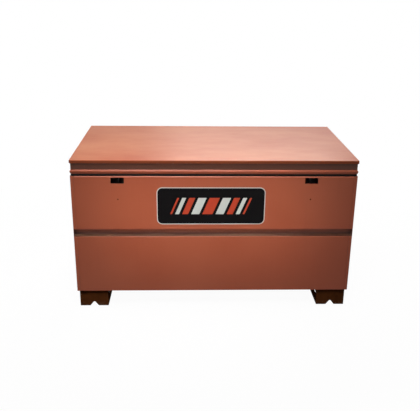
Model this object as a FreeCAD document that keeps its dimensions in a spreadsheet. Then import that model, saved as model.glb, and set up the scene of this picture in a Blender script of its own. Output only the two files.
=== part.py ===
import FreeCAD, Part
import os
from math import pi

import Sketcher
from FreeCAD import Placement, Rotation, Vector

# Jobsite storage box: a folded sheet steel chest on two hollow skids, with a hinged lid.
# Millimetres. The origin is on the floor under the middle of the chest, +Z is up and the front faces -Y.

DRIVING_DIMENSIONS = (
    # Overall size
    ("width", 1219),  # lid, from lip to lip
    ("depth", 660),  # front lip to the back of the hinge barrel
    ("height", 686),  # floor to lid top
    # Body
    ("sheet", 1.5),  # sheet steel of the body and the lid
    ("body_inset", 0.8),  # body faces behind the lid's lip
    ("corner_flange", 14),  # strip of an end panel folded round each corner
    ("corner_radius", 4),
    ("shoulder_radius", 6),  # bend at the top of the front and back panels
    ("rim_setback", 22),  # upstand behind the lid's lip
    ("rear_shelf", 18),  # shelf between the back panel's face and its upstand
    ("upstand", 22),
    ("rim_leg", 20),  # leg of an end rim, down the inside of its panel
    ("groove_level", 342),  # lower edge of the pressed groove above the floor
    ("groove_height", 33),
    ("groove_depth", 18),
    ("groove_ledge", 6),  # height of the groove's lower slope
    ("groove_return", 3),  # height of its steep upper side
    ("groove_radius", 3),
    ("floor_flange", 30),
    # Skids
    ("skid_height", 80),
    ("skid_width", 126),
    ("skid_wall", 3),
    ("skid_inset", 9),  # from the end panel
    ("skid_setback", 12),  # from the front and back panels
    ("skid_radius", 4),  # bend along its top
    ("notch_width", 38),
    ("notch_height", 24),  # to the sharp point, before it is rounded
    ("notch_radius", 6),
    ("tie_slot_length", 44),
    ("tie_slot_radius", 6),
    ("tie_slot_level", 46),
    ("tie_slot_setback", 22),
    ("caster_across", 66.7),  # bolt spacing along the chest's width
    ("caster_along", 92.1),
    ("caster_hole_radius", 5.5),
    ("caster_setback", 80),  # middle of the bolt pattern behind the skid's end
    # Lid
    ("lid_height", 59),
    ("rim_gap", 10),  # between the body's shelf and the lid, filled by the seal
    ("lip_height", 13),
    ("hem", 3),  # thickness of the doubled edge
    ("lip_radius", 2.5),
    ("lid_corner_radius", 5),
    ("recess_setback", 5),
    ("slope_rise", 17.5),  # lid's lower edge to the top of the slope under the recess
    ("slope_height", 6),
    ("bead_setback", 1.2),
    ("bead_radius", 5),
    ("tuck_height", 8),  # lower half of the bead, which turns back under it
    ("tuck_depth", 3),
    ("lid_flange", 17),  # flange under the bead
    ("weld_flange", 18),  # flange of the lid rim under the top sheet
    ("seal_setback", 5),
    ("seal_width", 7),
    ("stiffener_width", 60),
    ("stiffener_depth", 20),
    ("stiffener_brim", 16),
    # Locks
    ("lock_spacing", 824),
    ("slot_width", 56),
    ("slot_height", 26),
    ("slot_drop", 7),  # below the body's top
    ("pocket_width", 76),
    ("pocket_depth", 62),
    ("pocket_floor", 84),  # below the body's top
    ("pocket_brim", 14),
    ("pocket_tab", 40),
    ("pocket_rivet_drop", 103),
    ("pocket_rivet_radius", 2),
    ("pocket_rivet_head_radius", 3.2),
    ("pocket_rivet_head", 1.2),
    ("hasp_setback", 28),  # behind the lid's lip
    ("hasp_width", 26),
    ("hasp_thickness", 6),
    ("hasp_tip", 20),  # below the middle of the slot
    ("hasp_hole_radius", 7),
    ("hasp_foot", 44),
    ("hasp_foot_thickness", 4),
    # Hinge
    ("pin_radius", 3),
    ("pin_clearance", 0.05),
    ("leaf", 1.5),
    ("leaf_height", 34),
    ("hinge_margin", 4),  # between the leaf and the corner strips
    ("knuckles", 16),
    ("knuckle_gap", 0.6),
    # Lid stays
    ("lid_opening", 95),  # degrees
    ("stay_reach", 190),  # hinge axis to the stay's pivot, and to its stud
    ("stay_rise", 22),  # pivot above the hinge axis
    ("stay_drop", 95),  # stud below the hinge axis
    ("stay_width", 24),
    ("stay_thickness", 3),
    ("stay_gap", 6),  # between the upstand and the stay
    ("side_clearance", 0.3),  # between plates that swing past each other
    ("stud_radius", 4),
    ("slot_clearance", 0.5),
    ("slot_spare", 2),  # slot left beyond the stud at both limits
    ("stud_head_radius", 8),
    ("stud_head", 3),
    ("bracket_plate", 3),
    ("bracket_width", 44),
    ("bracket_foot", 30),
    ("bracket_tip", 15),  # below the pivot
    # Handles
    ("handle_level", 455),  # pivot above the floor
    ("handle_offset", 15),  # pivot from the end panel's face
    ("handle_plate", 3),
    ("handle_length", 216),
    ("handle_rise", 34),  # plate above and below the pivot
    ("plate_radius", 8),
    ("ear_span", 172),  # between the middles of the two ears
    ("ear_thickness", 5),
    ("ear_radius", 11),
    ("rod_radius", 5),
    ("rod_end", 5),  # rod past the ear
    ("bail_play", 1),  # between a bend of the bail and its ear
    ("bail_drop", 74),
    ("bail_bend", 12),
    ("grip_radius", 11),
    ("grip_clearance", 0.1),
    ("rivet_radius", 3),
    ("rivet_head_radius", 5.5),
    ("rivet_head", 2.5),
    ("rivet_inset", 12),
)

document = FreeCAD.newDocument("StorageBox")
sheet = document.addObject("Spreadsheet::Sheet", "Dims")
for row, (name, value) in enumerate(DRIVING_DIMENSIONS, start=1):
    sheet.set(f"A{row}", name)
    sheet.set(f"B{row}", str(value))
    sheet.setAlias(f"B{row}", name)
document.recompute()

# Levels and faces that several pieces share, as expressions on the driving dimensions.

LID_EDGE = "Dims.width / 2"
LIP_FRONT = "(-Dims.depth / 2)"
BODY_TOP = "(Dims.height - Dims.lid_height - Dims.rim_gap)"
LID_BOTTOM = "(Dims.height - Dims.lid_height)"
LID_UNDERSIDE = "(Dims.height - Dims.sheet)"
UPSTAND_TOP = f"({BODY_TOP} + Dims.upstand)"
BARREL = "(Dims.pin_radius + Dims.pin_clearance + Dims.leaf)"
HINGE_Y = f"(Dims.depth / 2 - {BARREL})"
HINGE_Z = f"({BODY_TOP} + Dims.rim_gap / 2)"
END_FACE = f"({LID_EDGE} - Dims.body_inset)"
END_INSIDE = f"({END_FACE} - Dims.sheet)"
BODY_FRONT = f"({LIP_FRONT} + Dims.body_inset)"
FRONT_FACE = f"({BODY_FRONT} + Dims.sheet)"
FRONT_INSIDE = f"({FRONT_FACE} + Dims.sheet)"
BACK_FACE = f"({HINGE_Y} - {BARREL})"
BACK_INSIDE = f"({BACK_FACE} - Dims.sheet)"
BODY_BACK = f"({BACK_FACE} + Dims.sheet)"
END_UPSTAND = f"({LID_EDGE} - Dims.rim_setback)"
FRONT_UPSTAND = f"({LIP_FRONT} + Dims.rim_setback)"
BACK_UPSTAND = f"({BACK_FACE} - Dims.rear_shelf)"
LOCK_X = "Dims.lock_spacing / 2"
SLOT_MIDDLE = f"({BODY_TOP} - Dims.slot_drop - Dims.slot_height / 2)"
STIFFENER_FOOT = f"({LID_UNDERSIDE} - Dims.stiffener_depth - Dims.sheet)"
STAY_X = f"({END_UPSTAND} - Dims.sheet - Dims.stay_gap - Dims.stay_thickness / 2)"
STAY_INNER = f"({STAY_X} - Dims.stay_thickness / 2 - Dims.side_clearance)"
PIVOT_Y = f"({HINGE_Y} - sqrt(Dims.stay_reach ^ 2 - Dims.stay_rise ^ 2))"
PIVOT_Z = f"({HINGE_Z} + Dims.stay_rise)"
STUD_Y = f"({HINGE_Y} - sqrt(Dims.stay_reach ^ 2 - Dims.stay_drop ^ 2))"
STUD_Z = f"({HINGE_Z} - Dims.stay_drop)"
BAIL_END = "(Dims.ear_span / 2 + Dims.ear_thickness / 2 + Dims.rod_end)"
BAIL_LEG = "(Dims.ear_span / 2 - Dims.ear_thickness / 2 - Dims.bail_play - Dims.bail_bend)"
HANDLE_X = f"({END_FACE} + Dims.handle_offset)"
PLATE_FACE = f"({END_FACE} + Dims.handle_plate)"
SKID_X = f"({END_FACE} - Dims.skid_inset - Dims.skid_width / 2)"
RIVET_HOLE = "(Dims.rivet_radius + Dims.pin_clearance)"
POCKET_RIVET_HOLE = "(Dims.pocket_rivet_radius + Dims.pin_clearance)"
SKID_FRONT = f"({BODY_FRONT} + Dims.skid_setback)"
SKID_BACK = f"({BODY_BACK} - Dims.skid_setback)"

SIDES = (("left", -1), ("right", 1))
ORIGIN, START, END, CENTRE = -1, 1, 2, 3
EDGE_MATCH = 0.001
QUARTER_TURN = pi / 2

sub_parts = []


# Helpers


def number(expression):
    """The value of an expression on the sheet's dimensions."""
    return float(sheet.evalExpression(expression))


def keep(piece, label):
    """Name a finished sub-part, which is later written to a file of that name."""
    piece.Label = label
    sub_parts.append(piece)
    return piece


def new_body(label):
    return keep(document.addObject("PartDesign::Body", label.title().replace("_", "")), label)


def new_sketch(body, name, plane, offset="0"):
    """A sketch on one of the body's origin planes, moved along the plane's normal."""
    sketch = body.newObject("Sketcher::SketchObject", name)
    support = next(item for item in body.Origin.OriginFeatures if item.Role == plane)
    sketch.AttachmentSupport = [(support, "")]
    sketch.MapMode = "FlatFace"
    sketch.setExpression("AttachmentOffset.Base.z", offset)
    return sketch


def bind(sketch, kind, expression, *places):
    """Add one measured constraint, held by an expression."""
    index = sketch.addConstraint(Sketcher.Constraint(kind, *places, number(expression)))
    sketch.setExpression(f"Constraints[{index}]", expression)


def bind_point(sketch, geometry, point, x, y):
    bind(sketch, "DistanceX", x, ORIGIN, START, geometry, point)
    bind(sketch, "DistanceY", y, ORIGIN, START, geometry, point)


def tie(sketch, kind, *places):
    sketch.addConstraint(Sketcher.Constraint(kind, *places))


def draw_lines(sketch, places):
    """Lines from place to place and back to the first, joined end to start."""
    first = sketch.GeometryCount
    for start, end in zip(places, places[1:] + places[:1]):
        sketch.addGeometry(Part.LineSegment(start, end))
    for step in range(len(places)):
        tie(sketch, "Coincident", first + step, END, first + (step + 1) % len(places), START)
    return first


def polygon(sketch, points):
    first = draw_lines(sketch, [Vector(number(x), number(y)) for x, y in points])
    for step, (x, y) in enumerate(points):
        bind_point(sketch, first + step, START, x, y)


def rectangle(sketch, left, right, low, high):
    polygon(sketch, [(left, low), (right, low), (right, high), (left, high)])


def circle(sketch, x, y, radius):
    index = sketch.addGeometry(Part.Circle(Vector(number(x), number(y)), Vector(0, 0, 1), number(radius)))
    bind_point(sketch, index, CENTRE, x, y)
    bind(sketch, "Radius", radius, index)


def stadium(sketch, left, right, y, radius):
    """A slot with round ends, between two end centres on one level."""
    x0, x1, level, r = (number(value) for value in (left, right, y, radius))
    arcs = []
    for x, turn in ((x0, QUARTER_TURN), (x1, -QUARTER_TURN)):
        whole = Part.Circle(Vector(x, level), Vector(0, 0, 1), r)
        arcs.append(sketch.addGeometry(Part.ArcOfCircle(whole, turn, turn + pi)))
    low = sketch.addGeometry(Part.LineSegment(Vector(x0, level - r), Vector(x1, level - r)))
    high = sketch.addGeometry(Part.LineSegment(Vector(x1, level + r), Vector(x0, level + r)))
    tie(sketch, "Tangent", arcs[0], END, low, START)
    tie(sketch, "Tangent", low, END, arcs[1], START)
    tie(sketch, "Tangent", arcs[1], END, high, START)
    tie(sketch, "Tangent", high, END, arcs[0], START)
    tie(sketch, "Equal", arcs[0], arcs[1])
    bind(sketch, "Radius", radius, arcs[0])
    bind_point(sketch, arcs[0], CENTRE, left, y)
    bind(sketch, "DistanceX", right, ORIGIN, START, arcs[1], CENTRE)


def moved_sideways(places, distance):
    """A path moved to its left, with mitred corners."""
    normals = []
    for start, end in zip(places, places[1:]):
        heading = (end - start).normalize()
        normals.append(Vector(-heading.y, heading.x))
    moved = [places[0] + normals[0] * distance]
    for corner, before, after in zip(places[1:-1], normals, normals[1:]):
        moved.append(corner + (before + after) * (distance / (1 + before.dot(after))))
    moved.append(places[-1] + normals[-1] * distance)
    return moved


def bent_sheet(sketch, path, turn, thickness="Dims.sheet"):
    """The outline of folded sheet: the path is one face, the other lies to its left (1) or right (-1)."""
    places = [Vector(number(x), number(y)) for x, y in path]
    other = moved_sideways(places, turn * number(thickness))
    first = draw_lines(sketch, places + other[::-1])
    folds = len(places) - 1
    for step, (x, y) in enumerate(path):
        bind_point(sketch, first + step, START, x, y)
    for step in range(folds):
        opposite = first + 2 * folds - step
        tie(sketch, "Parallel", first + step, opposite)
        bind(sketch, "Distance", thickness, opposite, START, first + step)
    tie(sketch, "Perpendicular", first + folds - 1, first + folds)
    tie(sketch, "Perpendicular", first, first + 2 * folds + 1)


def extrude(body, kind, sketch, length, symmetric, reverse):
    feature = body.newObject(kind, sketch.Name + kind.split("::")[1])
    feature.Profile = sketch
    feature.SideType = "Symmetric" if symmetric else "One side"
    feature.Reversed = reverse
    feature.setExpression("Length", length)
    document.recompute()
    return feature


def pad(body, sketch, length, symmetric=False, reverse=False):
    return extrude(body, "PartDesign::Pad", sketch, length, symmetric, reverse)


def pocket(body, sketch, length, symmetric=True, reverse=False):
    before = body.Shape.Volume
    feature = extrude(body, "PartDesign::Pocket", sketch, length, symmetric, reverse)
    if body.Shape.Volume >= before:
        raise RuntimeError(f"{sketch.Name} cuts nothing from {body.Label}")
    return feature


def edges_along(shape, axis, first, second):
    """Names of the straight edges parallel to an axis, at two places on the other two axes."""
    others = [letter for letter in "XYZ" if letter != axis]
    names = []
    for index, edge in enumerate(shape.Edges, start=1):
        box = edge.BoundBox
        lowest = [getattr(box, letter + "Min") for letter in others]
        lengths = [getattr(box, letter + "Length") for letter in others]
        at_place = all(abs(low - place) < EDGE_MATCH for low, place in zip(lowest, (first, second)))
        if at_place and max(lengths) < EDGE_MATCH:
            names.append(f"Edge{index}")
    return names


def fillet(body, radius, axis, places):
    """Round the edges parallel to an axis at places given as pairs of expressions."""
    base = body.Tip
    names = []
    for first, second in places:
        found = edges_along(base.Shape, axis, number(first), number(second))
        if not found:
            raise RuntimeError(f"{body.Label} has no edge along {axis} at {first}, {second}")
        names += found
    feature = body.newObject("PartDesign::Fillet", "Round")
    feature.Base = (base, names)
    feature.setExpression("Radius", radius)
    document.recompute()


def set_place(item, place):
    """Hold an object's position by three expressions."""
    for letter, expression in zip("xyz", place):
        item.setExpression(f"Placement.Base.{letter}", expression)


def turned(label, steps, place, rotation):
    """A turned piece: steps of (start, end, radius) along its own X axis, then placed."""
    body = document.addObject("PartDesign::Body", label.title().replace("_", ""))
    sketch = new_sketch(body, "Profile", "XY_Plane")
    outline = [(steps[0][0], "0")]
    for start, end, radius in steps:
        outline += [(start, radius), (end, radius)]
    outline.append((steps[-1][1], "0"))
    polygon(sketch, outline)
    feature = body.newObject("PartDesign::Revolution", "Turned")
    feature.Profile = sketch
    feature.ReferenceAxis = (sketch, ["H_Axis"])
    feature.Angle = 360
    body.Placement = Placement(Vector(), rotation)
    set_place(body, place)
    document.recompute()
    return body


def group(label, pieces):
    compound = document.addObject("Part::Compound", label.title().replace("_", ""))
    compound.Links = pieces
    return keep(compound, label)


def facing(side):
    """Turn a piece's own X axis to point out of the left (-1) or right (1) end."""
    return Rotation(Vector(0, 0, 1), 0 if side > 0 else 180)


# Body


def wall_panel(label, face, inward, upstand):
    """Front or back panel: wall, shoulder, shelf and upstand in one folded sheet, with a pressed groove."""
    body = new_body(label)
    fold = -inward
    wall = new_sketch(body, "Wall", "YZ_Plane")
    path = [(face, "Dims.skid_height"), (face, BODY_TOP), (upstand, BODY_TOP), (upstand, UPSTAND_TOP)]
    bent_sheet(wall, path, fold)
    pad(body, wall, f"2 * {END_INSIDE}", symmetric=True)

    for side_name, side in SIDES:
        corner = new_sketch(body, side_name.title() + "Corner", "XZ_Plane")
        near, far = f"{side} * {END_UPSTAND}", f"{side} * {LID_EDGE}"
        rectangle(corner, near, far, BODY_TOP, f"{UPSTAND_TOP} + Dims.sheet")
        pocket(body, corner, "2 * Dims.depth")

    press_groove(body, face, inward, fold)
    inside = f"{face} + {inward} * Dims.sheet"
    fillet(body, "Dims.shoulder_radius", "X", [(face, BODY_TOP)])
    fillet(body, "Dims.shoulder_radius - Dims.sheet", "X", [(inside, f"{BODY_TOP} - Dims.sheet")])
    return body


def press_groove(body, face, inward, fold):
    """A channel pressed right across a panel: steep above, with a short sloping ledge below."""
    length = f"2 * {END_INSIDE}"
    foot, head = "Dims.groove_level", "(Dims.groove_level + Dims.groove_height)"
    deep = f"{face} + {inward} * Dims.groove_depth"
    floor = [(deep, f"{foot} + Dims.groove_ledge"), (deep, f"{head} - Dims.groove_return")]
    inside = f"{face} + {inward} * Dims.sheet"

    window = new_sketch(body, "GrooveWindow", "YZ_Plane")
    rectangle(window, f"{face} - {inward} * Dims.sheet", inside, foot, head)
    pocket(body, window, length)

    pressed = new_sketch(body, "GroovePressed", "YZ_Plane")
    flat = "Dims.groove_radius"
    path = [(face, f"{foot} - {flat}"), (face, foot), *floor, (face, head), (face, f"{head} + {flat}")]
    bent_sheet(pressed, path, fold)
    pad(body, pressed, length, symmetric=True)
    fillet(body, "Dims.groove_radius", "X", [(face, foot), (face, head)])
    fillet(body, "Dims.groove_radius - Dims.sheet", "X", floor)


def front_panel():
    body = wall_panel("front_panel", FRONT_FACE, 1, FRONT_UPSTAND)
    for side_name, side in SIDES:
        middle = f"{side} * {LOCK_X}"
        slot = new_sketch(body, side_name.title() + "LockSlot", "XZ_Plane", f"-{FRONT_FACE}")
        half, low = "Dims.slot_width / 2", f"{BODY_TOP} - Dims.slot_drop - Dims.slot_height"
        rectangle(slot, f"{middle} - {half}", f"{middle} + {half}", low, f"{low} + Dims.slot_height")
        circle(slot, middle, f"{BODY_TOP} - Dims.pocket_rivet_drop", POCKET_RIVET_HOLE)
        pocket(body, slot, "4 * Dims.sheet")


def end_panel(name, side):
    """End panel folded round both upright corners, its strips notched where the grooves run out."""
    body = new_body(f"{name}_end_panel")
    profile = new_sketch(body, "Plan", "XY_Plane", "Dims.skid_height")
    face, strip = f"{side} * {END_FACE}", f"{side} * ({END_FACE} - Dims.corner_flange)"
    path = [(strip, BODY_FRONT), (face, BODY_FRONT), (face, BODY_BACK), (strip, BODY_BACK)]
    bent_sheet(profile, path, side)
    pad(body, profile, f"{BODY_TOP} - Dims.skid_height")
    fillet(body, "Dims.corner_radius", "Z", [(face, BODY_FRONT), (face, BODY_BACK)])
    notch = new_sketch(body, "GrooveNotch", "XZ_Plane")
    inner, outer = f"{side} * ({END_FACE} - 2 * Dims.corner_flange)", f"{side} * {END_INSIDE}"
    low, high = "Dims.groove_level - Dims.groove_radius", "Dims.groove_level + Dims.groove_height"
    rectangle(notch, inner, outer, low, f"{high} + Dims.groove_radius")
    pocket(body, notch, "2 * Dims.depth")
    holes = new_sketch(body, "RivetHoles", "YZ_Plane", face)
    for y, z in handle_rivet_places():
        circle(holes, y, z, RIVET_HOLE)
    pocket(body, holes, "4 * Dims.sheet")


def end_rim(name, side):
    """Shelf and upstand along the top of an end panel, with a leg down its inside."""
    body = new_body(f"{name}_end_rim")
    front, back = f"({FRONT_UPSTAND} + Dims.sheet)", f"({BACK_UPSTAND} - Dims.sheet)"
    profile = new_sketch(body, "Profile", "XZ_Plane", f"-({front} + {back}) / 2")
    wall, upstand = f"{side} * {END_INSIDE}", f"{side} * {END_UPSTAND}"
    foot = f"{BODY_TOP} - Dims.rim_leg"
    path = [(wall, foot), (wall, BODY_TOP), (upstand, BODY_TOP), (upstand, UPSTAND_TOP)]
    bent_sheet(profile, path, side)
    pad(body, profile, f"{back} - {front}", symmetric=True)


def floor_pan():
    body = new_body("floor_pan")
    outline = new_sketch(body, "Outline", "XY_Plane", "Dims.skid_height")
    rectangle(outline, f"-{END_INSIDE}", END_INSIDE, FRONT_INSIDE, BACK_INSIDE)
    pad(body, outline, "Dims.floor_flange")
    hollow = new_sketch(body, "Hollow", "XY_Plane", "Dims.skid_height + Dims.floor_flange")
    wall = "Dims.sheet"
    side = f"{END_INSIDE} - {wall}"
    rectangle(hollow, f"-({side})", side, f"{FRONT_INSIDE} + {wall}", f"{BACK_INSIDE} - {wall}")
    pocket(body, hollow, "Dims.floor_flange - Dims.sheet", symmetric=False)
    drill_caster_holes(body, (-1, 1))


def rim_seal():
    """Rubber strips on the shelf, under the lid's flange, along the front and both ends."""
    wide = "Dims.seal_width"
    end = f"({LID_EDGE} - Dims.seal_setback)"
    front, behind = f"({LIP_FRONT} + Dims.seal_setback)", f"({LIP_FRONT} + Dims.seal_setback + {wide})"
    long, deep = f"2 * {end}", f"{BACK_UPSTAND} - {behind}"
    strips = [
        seal_strip("FrontSeal", f"-{end}", front, long, wide),
        seal_strip("LeftSeal", f"-{end}", behind, wide, deep),
        seal_strip("RightSeal", f"{end} - {wide}", behind, wide, deep),
    ]
    group("rim_seal", strips)


def seal_strip(name, x, y, length, width):
    strip = document.addObject("Part::Box", name)
    strip.setExpression("Length", length)
    strip.setExpression("Width", width)
    strip.setExpression("Height", "Dims.rim_gap")
    set_place(strip, (x, y, BODY_TOP))
    return strip


# Skids


def caster_places(side):
    """Bolt holes for a caster plate at both ends of one skid."""
    ends = (f"({SKID_FRONT} + Dims.caster_setback)", f"({SKID_BACK} - Dims.caster_setback)")
    for middle in ends:
        for across in (-1, 1):
            for along in (-1, 1):
                x = f"{side} * {SKID_X} + {across} * Dims.caster_across / 2"
                y = f"{middle} + {along} * Dims.caster_along / 2"
                yield x, y


def drill_caster_holes(body, sides):
    holes = new_sketch(body, "CasterHoles", "XY_Plane", "Dims.skid_height")
    for side in sides:
        for x, y in caster_places(side):
            circle(holes, x, y, "Dims.caster_hole_radius")
    pocket(body, holes, "4 * Dims.skid_wall")


def skid(name, side):
    """Folded runner, open below and at both ends, with tie slots in both webs."""
    body = new_body(f"{name}_skid")
    middle, half = f"{side} * {SKID_X}", "Dims.skid_width / 2"
    left, right, top = f"{middle} - {half}", f"{middle} + {half}", "Dims.skid_height"
    profile = new_sketch(body, "Profile", "XZ_Plane", f"-({SKID_FRONT} + {SKID_BACK}) / 2")
    bent_sheet(profile, [(left, "0"), (left, top), (right, top), (right, "0")], -1, "Dims.skid_wall")
    pad(body, profile, f"{SKID_BACK} - {SKID_FRONT}", symmetric=True)
    fillet(body, "Dims.skid_radius", "Y", [(left, top), (right, top)])

    slots = new_sketch(body, "TieSlots", "YZ_Plane")
    near = "(Dims.tie_slot_setback + Dims.tie_slot_radius)"
    far = "(Dims.tie_slot_setback + Dims.tie_slot_length - Dims.tie_slot_radius)"
    level, radius = "Dims.tie_slot_level", "Dims.tie_slot_radius"
    stadium(slots, f"{SKID_FRONT} + {near}", f"{SKID_FRONT} + {far}", level, radius)
    stadium(slots, f"{SKID_BACK} - {far}", f"{SKID_BACK} - {near}", level, radius)
    pocket(body, slots, "2 * Dims.width")
    drill_caster_holes(body, (side,))


def skid_plate(name, side, end_name, face, inward):
    """Plate welded between the webs at one end of a skid, with a rounded notch in its foot."""
    body = new_body(f"{name}_skid_{end_name}_plate")
    middle, half = f"{side} * {SKID_X}", "(Dims.skid_width / 2 - Dims.skid_wall)"
    left, right, top = f"{middle} - {half}", f"{middle} + {half}", "Dims.skid_height - Dims.skid_wall"
    foot = "Dims.notch_width / 2"
    notch = [(f"{middle} + {foot}", "0"), (middle, "Dims.notch_height"), (f"{middle} - {foot}", "0")]
    outline = new_sketch(body, "Outline", "XZ_Plane", f"-({face} + {inward} * Dims.skid_wall / 2)")
    polygon(outline, [(left, "0"), (left, top), (right, top), (right, "0"), *notch])
    pad(body, outline, "Dims.skid_wall", symmetric=True)
    fillet(body, "Dims.notch_radius", "Y", [notch[1]])


# Locks


def lock_pocket(name, side):
    """Steel box behind a lock slot, open above for the hasp, with a riveted tab below."""
    body = new_body(f"{name}_lock_pocket")
    middle, half = f"{side} * {LOCK_X}", "Dims.pocket_width / 2"
    floor = f"({BODY_TOP} - Dims.pocket_floor)"
    back = f"{FRONT_INSIDE} + Dims.pocket_depth"
    plan = new_sketch(body, "Plan", "XY_Plane", floor)
    left, right = f"{middle} - {half}", f"{middle} + {half}"
    brim = "Dims.pocket_brim"
    path = [
        (f"{left} - {brim}", FRONT_INSIDE),
        (left, FRONT_INSIDE),
        (left, back),
        (right, back),
        (right, FRONT_INSIDE),
        (f"{right} + {brim}", FRONT_INSIDE),
    ]
    bent_sheet(plan, path, 1)
    pad(body, plan, "Dims.pocket_floor - Dims.shoulder_radius")
    bottom = new_sketch(body, "Bottom", "XY_Plane", floor)
    rectangle(bottom, f"{left} - Dims.sheet", f"{right} + Dims.sheet", FRONT_INSIDE, f"{back} + Dims.sheet")
    pad(body, bottom, "Dims.sheet")
    tab = new_sketch(body, "Tab", "XZ_Plane", f"-{FRONT_INSIDE}")
    edge = "Dims.pocket_tab / 2"
    rivet = f"({BODY_TOP} - Dims.pocket_rivet_drop)"
    rectangle(tab, f"{middle} - {edge}", f"{middle} + {edge}", f"{rivet} - {edge}", f"{floor} + Dims.sheet")
    pad(body, tab, "Dims.sheet", reverse=True)
    hole = new_sketch(body, "RivetHole", "XZ_Plane", f"-{FRONT_INSIDE}")
    circle(hole, middle, rivet, POCKET_RIVET_HOLE)
    pocket(body, hole, "4 * Dims.sheet")


def lock_pocket_rivets():
    rivets = []
    through = "2 * Dims.sheet"
    head, head_radius = "Dims.pocket_rivet_head", "Dims.pocket_rivet_head_radius"
    steps = [
        (f"-{head}", "0", head_radius),
        ("0", through, "Dims.pocket_rivet_radius"),
        (through, f"{through} + {head}", head_radius),
    ]
    for side_name, side in SIDES:
        place = (f"{side} * {LOCK_X}", FRONT_FACE, f"{BODY_TOP} - Dims.pocket_rivet_drop")
        rivets.append(turned(f"{side_name}_pocket_rivet", steps, place, Rotation(Vector(0, 0, 1), 90)))
    group("lock_pocket_rivets", rivets)


def hasp(name, side):
    """Drilled tongue on a foot under the lid stiffener, hanging behind the lock slot."""
    body = new_body(f"{name}_hasp")
    middle = f"{side} * {LOCK_X}"
    front = f"({LIP_FRONT} + Dims.hasp_setback)"
    back = f"({front} + Dims.hasp_width)"
    tongue = new_sketch(body, "Tongue", "YZ_Plane", middle)
    rectangle(tongue, front, back, f"{SLOT_MIDDLE} - Dims.hasp_tip", STIFFENER_FOOT)
    pad(body, tongue, "Dims.hasp_thickness", symmetric=True)
    tip = f"{SLOT_MIDDLE} - Dims.hasp_tip"
    fillet(body, "Dims.hasp_width / 3", "X", [(front, tip), (back, tip)])
    foot = new_sketch(body, "Foot", "XY_Plane", STIFFENER_FOOT)
    half = "Dims.hasp_foot / 2"
    rectangle(foot, f"{middle} - {half}", f"{middle} + {half}", front, f"{front} + Dims.hasp_foot")
    pad(body, foot, "Dims.hasp_foot_thickness", reverse=True)
    hole = new_sketch(body, "ShackleHole", "YZ_Plane", middle)
    circle(hole, f"({front} + {back}) / 2", SLOT_MIDDLE, "Dims.hasp_hole_radius")
    pocket(body, hole, "4 * Dims.hasp_thickness")


# Lid


def lid_top():
    """Top sheet with a hemmed lip round the front and ends, and the wall that carries the hinge."""
    body = new_body("lid_top")
    edge = LID_EDGE
    top = new_sketch(body, "Top", "XY_Plane", LID_UNDERSIDE)
    rectangle(top, f"-{edge}", edge, LIP_FRONT, BACK_FACE)
    pad(body, top, "Dims.sheet")
    lip = new_sketch(body, "Lip", "XY_Plane", LID_UNDERSIDE)
    inner, front = f"({edge} - Dims.hem)", f"{LIP_FRONT} + Dims.hem"
    polygon(
        lip,
        [
            (f"-{edge}", BACK_FACE),
            (f"-{edge}", LIP_FRONT),
            (edge, LIP_FRONT),
            (edge, BACK_FACE),
            (inner, BACK_FACE),
            (inner, front),
            (f"-{inner}", front),
            (f"-{inner}", BACK_FACE),
        ],
    )
    pad(body, lip, "Dims.lip_height - Dims.sheet", reverse=True)
    rear = new_sketch(body, "RearWall", "XY_Plane", LID_UNDERSIDE)
    rectangle(rear, f"-{edge}", edge, BACK_INSIDE, BACK_FACE)
    pad(body, rear, "Dims.lid_height - Dims.sheet", reverse=True)
    fillet(body, "Dims.lid_corner_radius", "Z", [(f"-{edge}", LIP_FRONT), (edge, LIP_FRONT)])
    round_lid_edges(body)


def round_lid_edges(body):
    """Round the upper edges of the lip, all along the front, the corners and the ends."""
    base = body.Tip
    top = number("Dims.height")
    names = []
    for index, edge in enumerate(base.Shape.Edges, start=1):
        box = edge.BoundBox
        if abs(box.ZMin - top) < EDGE_MATCH and box.ZLength < EDGE_MATCH:
            names.append(f"Edge{index}")
    feature = body.newObject("PartDesign::Fillet", "LipRound")
    feature.Base = (base, names)
    feature.setExpression("Radius", "Dims.lip_radius")
    document.recompute()


def lid_rim_path(edge, inward):
    """Recess, slope, bead, tuck and flange of the lid's edge, from under the top sheet down."""
    def behind(setback):
        return f"{edge} + {inward} * ({setback})"

    return [
        (behind("Dims.recess_setback + Dims.weld_flange"), LID_UNDERSIDE),
        (behind("Dims.recess_setback"), LID_UNDERSIDE),
        (behind("Dims.recess_setback"), f"{LID_BOTTOM} + Dims.slope_rise"),
        (behind("Dims.bead_setback"), f"{LID_BOTTOM} + Dims.slope_rise - Dims.slope_height"),
        (behind("Dims.bead_setback"), f"{LID_BOTTOM} + Dims.tuck_height"),
        (behind("Dims.bead_setback + Dims.tuck_depth"), LID_BOTTOM),
        (behind("Dims.bead_setback + Dims.lid_flange"), LID_BOTTOM),
    ]


def mitre(body, name, side, cut_behind):
    """Cut a lid rim along the line that halves the front corner, on one side of that line."""
    deep = "(Dims.recess_setback + 2 * Dims.weld_flange)"
    corner = (f"{side} * {LID_EDGE}", LIP_FRONT)
    inner = (f"{side} * ({LID_EDGE} - {deep})", f"{LIP_FRONT} + {deep}")
    waste = (corner[0], inner[1]) if cut_behind else (inner[0], corner[1])
    sketch = new_sketch(body, name, "XY_Plane", BODY_TOP)
    polygon(sketch, [corner, inner, waste])
    pocket(body, sketch, "2 * Dims.height")


def lid_front_rim():
    body = new_body("lid_front_rim")
    profile = new_sketch(body, "Profile", "YZ_Plane")
    bent_sheet(profile, lid_rim_path(LIP_FRONT, 1), 1)
    pad(body, profile, "Dims.width - 2 * Dims.bead_setback", symmetric=True)
    for side_name, side in SIDES:
        mitre(body, side_name.title() + "Mitre", side, cut_behind=True)
    round_rim(body, "X", LIP_FRONT, 1)


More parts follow.
